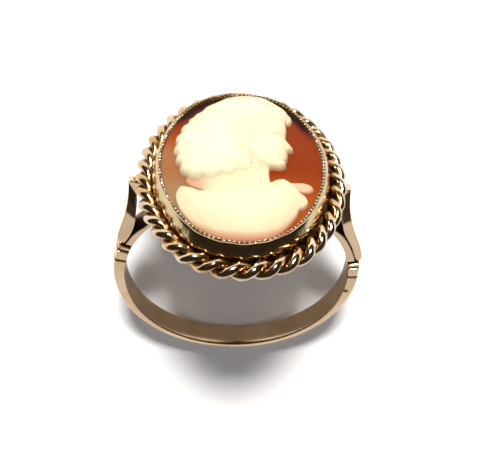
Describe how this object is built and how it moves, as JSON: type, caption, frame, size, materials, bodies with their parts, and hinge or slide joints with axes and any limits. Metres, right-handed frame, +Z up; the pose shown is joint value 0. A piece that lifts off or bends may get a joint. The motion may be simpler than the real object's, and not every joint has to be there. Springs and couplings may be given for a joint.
{
  "type": "cameo ring",
  "caption": "Finger ring with a plain band forking into two arms at each shoulder, an oval rub-over collet with a twisted wire border, and a domed shell cameo of a lady's head in profile.",
  "frame": {"origin": "middle of the bounding box's bottom face, on the table that the ring lies on", "axes": "+X to the left of the cameo as it is worn, +Y from the stone's side to the back of the band, +Z up from the table. The ring lies on its side, the cameo's head end down"},
  "size_m": [0.02, 0.0233, 0.0177],
  "materials": {
    "gold": "pale yellow gold, polished, a little tarnished in the recesses",
    "orange_shell": "polished shell",
    "white_shell": "carved shell, satin"
  },
  "bodies": {
    "root": {"ring_mount": "gold", "cameo_ground": "orange_shell", "cameo_bust": "white_shell"}
  },
  "joints": []
}
